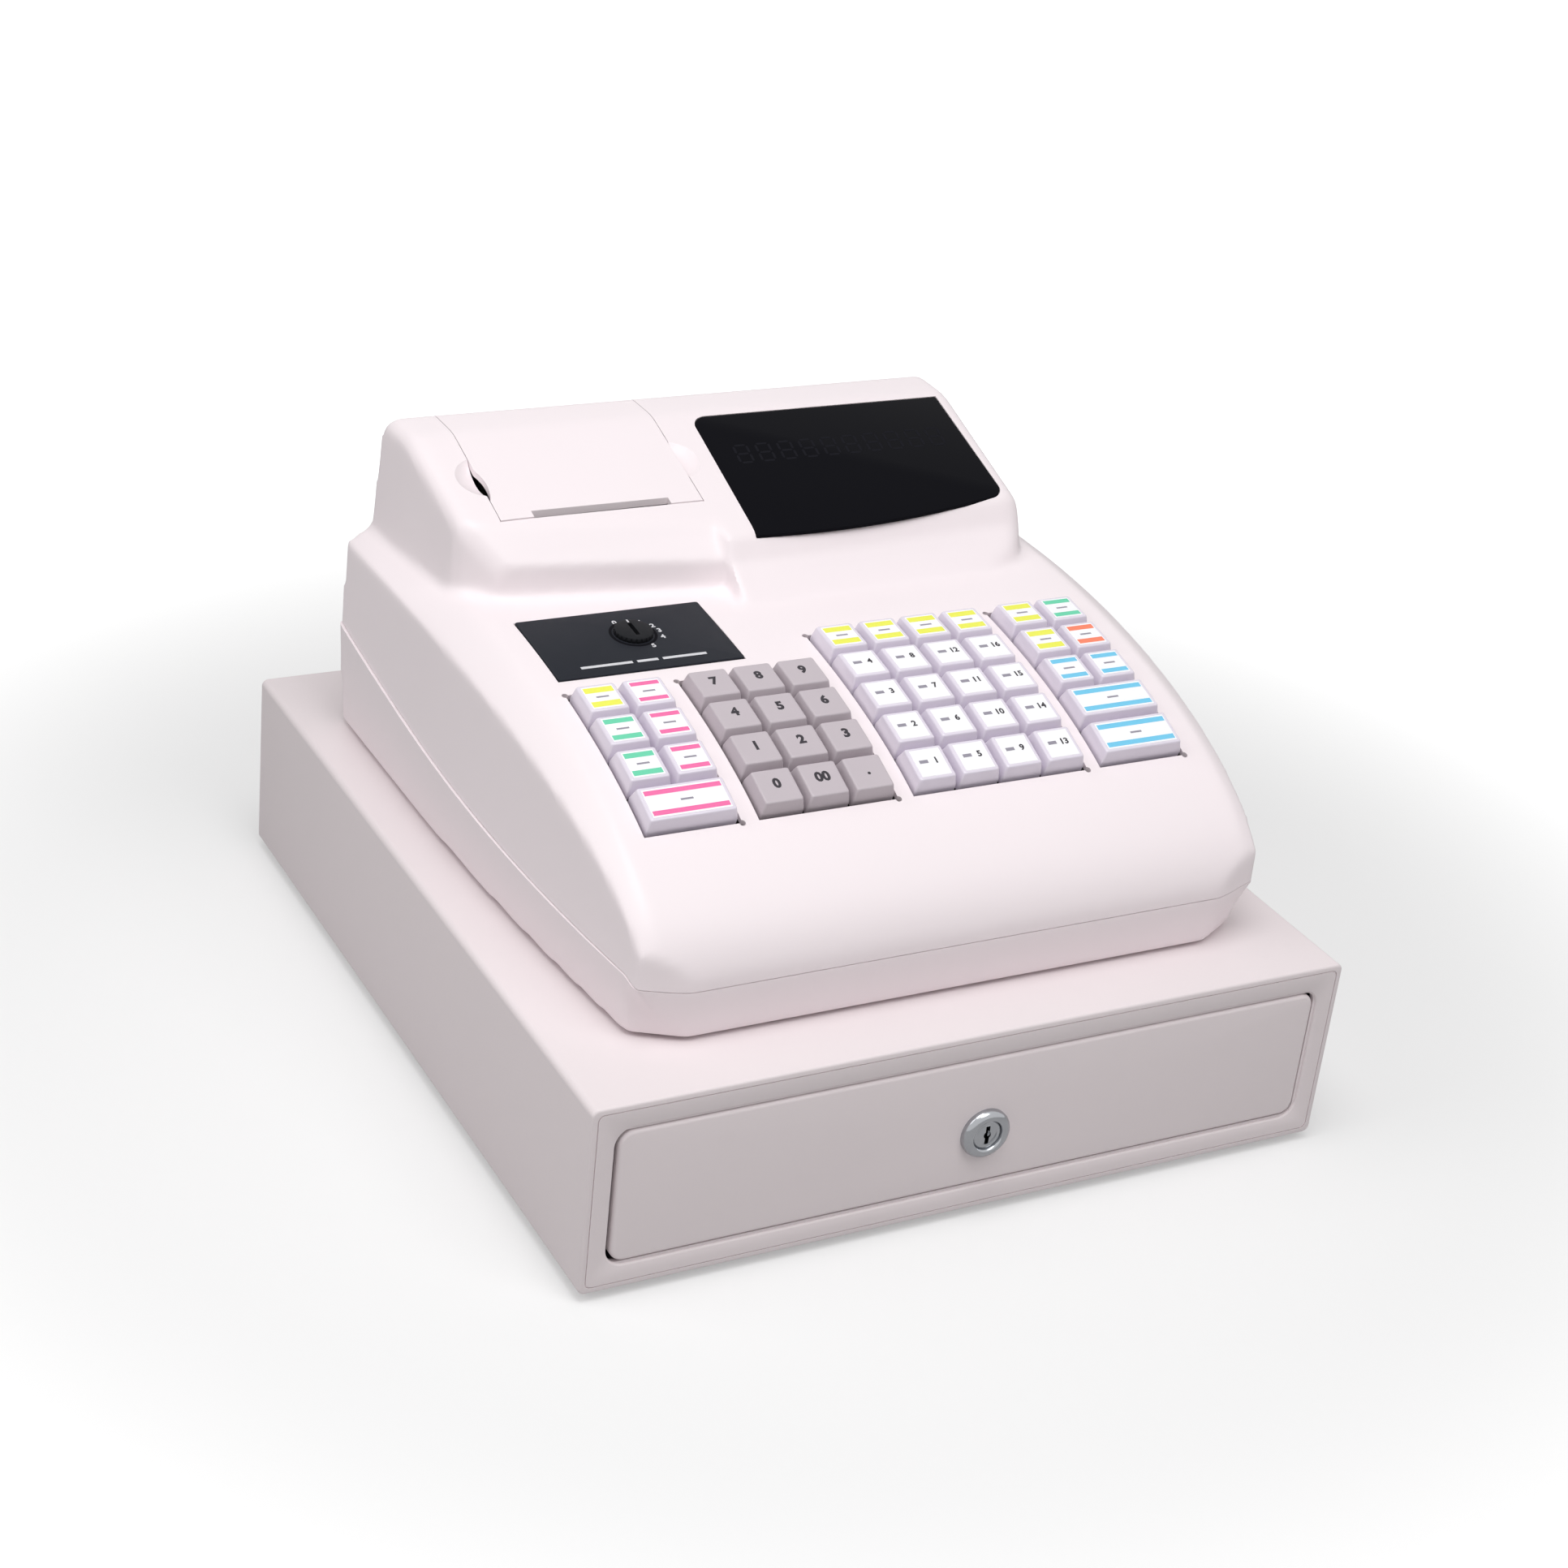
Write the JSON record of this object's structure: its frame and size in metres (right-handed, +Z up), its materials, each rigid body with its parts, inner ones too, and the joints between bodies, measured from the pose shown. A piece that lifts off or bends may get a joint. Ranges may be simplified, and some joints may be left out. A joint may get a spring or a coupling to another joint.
{
  "type": "ticket register",
  "caption": "Keyboard till with receipt printer, operator and customer displays and key switch, standing on a lockable steel cash drawer.",
  "frame": {"origin": "middle of the footprint, on the surface that the rubber feet stand on", "axes": "+Z up, -Y towards the operator, +X to the operator's right"},
  "size_m": [0.328, 0.3646, 0.224],
  "materials": {
    "ivory_plastic": "fine-textured moulded ABS, satin",
    "ivory_paint": "powder-coated sheet steel, satin",
    "zinc_steel": "zinc-plated steel",
    "lock_chrome": "polished chrome",
    "black_plastic": "black moulded plastic, matt",
    "panel_black": "black printed panel film, half gloss",
    "window_black": "smoked acrylic, polished",
    "black_rubber": "black rubber",
    "white_nylon": "natural nylon",
    "receipt_paper": "wound thermal paper",
    "circuit_board": "green circuit board with black parts",
    "transformer_steel": "lacquered core plates with taped windings",
    "grey_keys": "warm grey key caps, half gloss",
    "white_keys": "clear-topped white key caps, glossy"
  },
  "bodies": {
    "case": {"drawer_housing": "ivory_paint", "drawer_feet": "black_rubber", "drawer_rails": "zinc_steel", "base_case": "ivory_plastic", "upper_case": "ivory_plastic", "printer_frame": "black_plastic", "display_window": "window_black", "display_board": "circuit_board", "customer_window": "window_black", "mode_panel": "panel_black", "mode_switch": "black_plastic", "keyboard_frame": "black_plastic", "keyboard_board": "circuit_board", "main_board": "circuit_board", "power_unit": "transformer_steel", "power_inlet": "black_plastic", "case_screws": "zinc_steel"},
    "drawer": {"drawer_front": "ivory_paint", "drawer_box": "zinc_steel", "cash_tray": "black_plastic", "lock_barrel": "lock_chrome"},
    "wheels": {"drawer_wheels": "white_nylon"},
    "clips": {"note_clips": "black_plastic"},
    "lock": {"lock_plug": "lock_chrome"},
    "latch": {"drawer_latch": "zinc_steel"},
    "cover": {"printer_cover": "ivory_plastic"},
    "platen": {"platen_roller": "black_rubber"},
    "roll": {"paper_roll": "receipt_paper"},
    "dial": {"mode_plug": "black_plastic"},
    "digit_key_0_body": {"digit_key_0": "grey_keys"},
    "digit_key_1_body": {"digit_key_1": "grey_keys"},
    "digit_key_2_body": {"digit_key_2": "grey_keys"},
    "digit_key_3_body": {"digit_key_3": "grey_keys"},
    "digit_key_4_body": {"digit_key_4": "grey_keys"},
    "digit_key_5_body": {"digit_key_5": "grey_keys"},
    "digit_key_6_body": {"digit_key_6": "grey_keys"},
    "digit_key_7_body": {"digit_key_7": "grey_keys"},
    "digit_key_8_body": {"digit_key_8": "grey_keys"},
    "digit_key_9_body": {"digit_key_9": "grey_keys"},
    "digit_key_00_body": {"digit_key_00": "grey_keys"},
    "digit_key_point_body": {"digit_key_point": "grey_keys"},
    "left_key_1_body": {"left_key_1": "white_keys"},
    "left_key_2_body": {"left_key_2": "white_keys"},
    "left_key_3_body": {"left_key_3": "white_keys"},
    "left_key_4_body": {"left_key_4": "white_keys"},
    "left_key_5_body": {"left_key_5": "white_keys"},
    "left_key_6_body": {"left_key_6": "white_keys"},
    "left_key_wide_body": {"left_key_wide": "white_keys"},
    "right_key_1_body": {"right_key_1": "white_keys"},
    "right_key_2_body": {"right_key_2": "white_keys"},
    "right_key_3_body": {"right_key_3": "white_keys"},
    "right_key_4_body": {"right_key_4": "white_keys"},
    "right_key_5_body": {"right_key_5": "white_keys"},
    "right_key_6_body": {"right_key_6": "white_keys"},
    "right_key_wide_1_body": {"right_key_wide_1": "white_keys"},
    "right_key_wide_2_body": {"right_key_wide_2": "white_keys"},
    "dept_column_1_body": {"dept_column_1": "white_keys"},
    "dept_column_2_body": {"dept_column_2": "white_keys"},
    "dept_column_3_body": {"dept_column_3": "white_keys"},
    "dept_column_4_body": {"dept_column_4": "white_keys"}
  },
  "joints": [
    {"name": "drawer_slide", "type": "slide", "parent": "case", "child": "drawer", "axis": [0, -1, 0], "range_m": [0, 0.24]},
    {"name": "wheels_turn", "type": "hinge", "parent": "drawer", "child": "wheels", "pos_m": [0, 0.1383, 0.0316], "axis": [1, 0, 0], "range_deg": [0, 1840]},
    {"name": "note_clips_lift", "type": "hinge", "parent": "drawer", "child": "clips", "pos_m": [0, 0.1412, 0.0606], "axis": [-1, 0, 0], "range_deg": [0, 52]},
    {"name": "lock_turn", "type": "hinge", "parent": "drawer", "child": "lock", "pos_m": [0.003, -0.1787, 0.039], "axis": [0, -1, 0], "range_deg": [0, 90]},
    {"name": "latch_swing", "type": "hinge", "parent": "case", "child": "latch", "pos_m": [0, 0.1733, 0.022], "axis": [-1, 0, 0], "range_deg": [0, 16]},
    {"name": "cover_hinge", "type": "hinge", "parent": "case", "child": "cover", "pos_m": [-0.065, 0.1355, 0.216], "axis": [-1, 0, 0], "range_deg": [0, 95]},
    {"name": "roll_turn", "type": "hinge", "parent": "case", "child": "roll", "pos_m": [-0.065, 0.0958, 0.19231], "axis": [1, 0, 0], "continuous": true},
    {"name": "platen_turn", "type": "hinge", "parent": "cover", "child": "platen", "pos_m": [-0.065, 0.0633, 0.19439], "axis": [1, 0, 0], "continuous": true},
    {"name": "dial_turn", "type": "hinge", "parent": "case", "child": "dial", "pos_m": [-0.0738, 0.00075, 0.17632], "axis": [0, -0.098, 0.9952], "range_deg": [-90, 90]},
    {"name": "digit_key_0_press", "type": "slide", "parent": "case", "child": "digit_key_0_body", "axis": [0, 0.2453, -0.9695], "range_m": [0, 0.003], "stiffness_N_per_m": 200},
    {"name": "digit_key_1_press", "type": "slide", "parent": "case", "child": "digit_key_1_body", "axis": [0, 0.2453, -0.9695], "range_m": [0, 0.003], "stiffness_N_per_m": 200},
    {"name": "digit_key_2_press", "type": "slide", "parent": "case", "child": "digit_key_2_body", "axis": [0, 0.2453, -0.9695], "range_m": [0, 0.003], "stiffness_N_per_m": 200},
    {"name": "digit_key_3_press", "type": "slide", "parent": "case", "child": "digit_key_3_body", "axis": [0, 0.2453, -0.9695], "range_m": [0, 0.003], "stiffness_N_per_m": 200},
    {"name": "digit_key_4_press", "type": "slide", "parent": "case", "child": "digit_key_4_body", "axis": [0, 0.2453, -0.9695], "range_m": [0, 0.003], "stiffness_N_per_m": 200},
    {"name": "digit_key_5_press", "type": "slide", "parent": "case", "child": "digit_key_5_body", "axis": [0, 0.2453, -0.9695], "range_m": [0, 0.003], "stiffness_N_per_m": 200},
    {"name": "digit_key_6_press", "type": "slide", "parent": "case", "child": "digit_key_6_body", "axis": [0, 0.2453, -0.9695], "range_m": [0, 0.003], "stiffness_N_per_m": 200},
    {"name": "digit_key_7_press", "type": "slide", "parent": "case", "child": "digit_key_7_body", "axis": [0, 0.2453, -0.9695], "range_m": [0, 0.003], "stiffness_N_per_m": 200},
    {"name": "digit_key_8_press", "type": "slide", "parent": "case", "child": "digit_key_8_body", "axis": [0, 0.2453, -0.9695], "range_m": [0, 0.003], "stiffness_N_per_m": 200},
    {"name": "digit_key_9_press", "type": "slide", "parent": "case", "child": "digit_key_9_body", "axis": [0, 0.2453, -0.9695], "range_m": [0, 0.003], "stiffness_N_per_m": 200},
    {"name": "digit_key_00_press", "type": "slide", "parent": "case", "child": "digit_key_00_body", "axis": [0, 0.2453, -0.9695], "range_m": [0, 0.003], "stiffness_N_per_m": 200},
    {"name": "digit_key_point_press", "type": "slide", "parent": "case", "child": "digit_key_point_body", "axis": [0, 0.2453, -0.9695], "range_m": [0, 0.003], "stiffness_N_per_m": 200},
    {"name": "left_key_1_press", "type": "slide", "parent": "case", "child": "left_key_1_body", "axis": [0, 0.2453, -0.9695], "range_m": [0, 0.003], "stiffness_N_per_m": 200},
    {"name": "left_key_2_press", "type": "slide", "parent": "case", "child": "left_key_2_body", "axis": [0, 0.2453, -0.9695], "range_m": [0, 0.003], "stiffness_N_per_m": 200},
    {"name": "left_key_3_press", "type": "slide", "parent": "case", "child": "left_key_3_body", "axis": [0, 0.2453, -0.9695], "range_m": [0, 0.003], "stiffness_N_per_m": 200},
    {"name": "left_key_4_press", "type": "slide", "parent": "case", "child": "left_key_4_body", "axis": [0, 0.2453, -0.9695], "range_m": [0, 0.003], "stiffness_N_per_m": 200},
    {"name": "left_key_5_press", "type": "slide", "parent": "case", "child": "left_key_5_body", "axis": [0, 0.2453, -0.9695], "range_m": [0, 0.003], "stiffness_N_per_m": 200},
    {"name": "left_key_6_press", "type": "slide", "parent": "case", "child": "left_key_6_body", "axis": [0, 0.2453, -0.9695], "range_m": [0, 0.003], "stiffness_N_per_m": 200},
    {"name": "left_key_wide_press", "type": "slide", "parent": "case", "child": "left_key_wide_body", "axis": [0, 0.2453, -0.9695], "range_m": [0, 0.003], "stiffness_N_per_m": 200},
    {"name": "right_key_1_press", "type": "slide", "parent": "case", "child": "right_key_1_body", "axis": [0, 0.2453, -0.9695], "range_m": [0, 0.003], "stiffness_N_per_m": 200},
    {"name": "right_key_2_press", "type": "slide", "parent": "case", "child": "right_key_2_body", "axis": [0, 0.2453, -0.9695], "range_m": [0, 0.003], "stiffness_N_per_m": 200},
    {"name": "right_key_3_press", "type": "slide", "parent": "case", "child": "right_key_3_body", "axis": [0, 0.2453, -0.9695], "range_m": [0, 0.003], "stiffness_N_per_m": 200},
    {"name": "right_key_4_press", "type": "slide", "parent": "case", "child": "right_key_4_body", "axis": [0, 0.2453, -0.9695], "range_m": [0, 0.003], "stiffness_N_per_m": 200},
    {"name": "right_key_5_press", "type": "slide", "parent": "case", "child": "right_key_5_body", "axis": [0, 0.2453, -0.9695], "range_m": [0, 0.003], "stiffness_N_per_m": 200},
    {"name": "right_key_6_press", "type": "slide", "parent": "case", "child": "right_key_6_body", "axis": [0, 0.2453, -0.9695], "range_m": [0, 0.003], "stiffness_N_per_m": 200},
    {"name": "right_key_wide_1_press", "type": "slide", "parent": "case", "child": "right_key_wide_1_body", "axis": [0, 0.2453, -0.9695], "range_m": [0, 0.003], "stiffness_N_per_m": 200},
    {"name": "right_key_wide_2_press", "type": "slide", "parent": "case", "child": "right_key_wide_2_body", "axis": [0, 0.2453, -0.9695], "range_m": [0, 0.003], "stiffness_N_per_m": 200},
    {"name": "dept_column_1_press", "type": "slide", "parent": "case", "child": "dept_column_1_body", "axis": [0, 0.2453, -0.9695], "range_m": [0, 0.003], "stiffness_N_per_m": 600},
    {"name": "dept_column_2_press", "type": "slide", "parent": "case", "child": "dept_column_2_body", "axis": [0, 0.2453, -0.9695], "range_m": [0, 0.003], "stiffness_N_per_m": 600},
    {"name": "dept_column_3_press", "type": "slide", "parent": "case", "child": "dept_column_3_body", "axis": [0, 0.2453, -0.9695], "range_m": [0, 0.003], "stiffness_N_per_m": 600},
    {"name": "dept_column_4_press", "type": "slide", "parent": "case", "child": "dept_column_4_body", "axis": [0, 0.2453, -0.9695], "range_m": [0, 0.003], "stiffness_N_per_m": 600}
  ],
  "couplings": [
    {"joint": "wheels_turn", "follows": "drawer_slide", "rad_per_m": 133.33},
    {"joint": "platen_turn", "follows": "roll_turn", "ratio": 3.75}
  ]
}
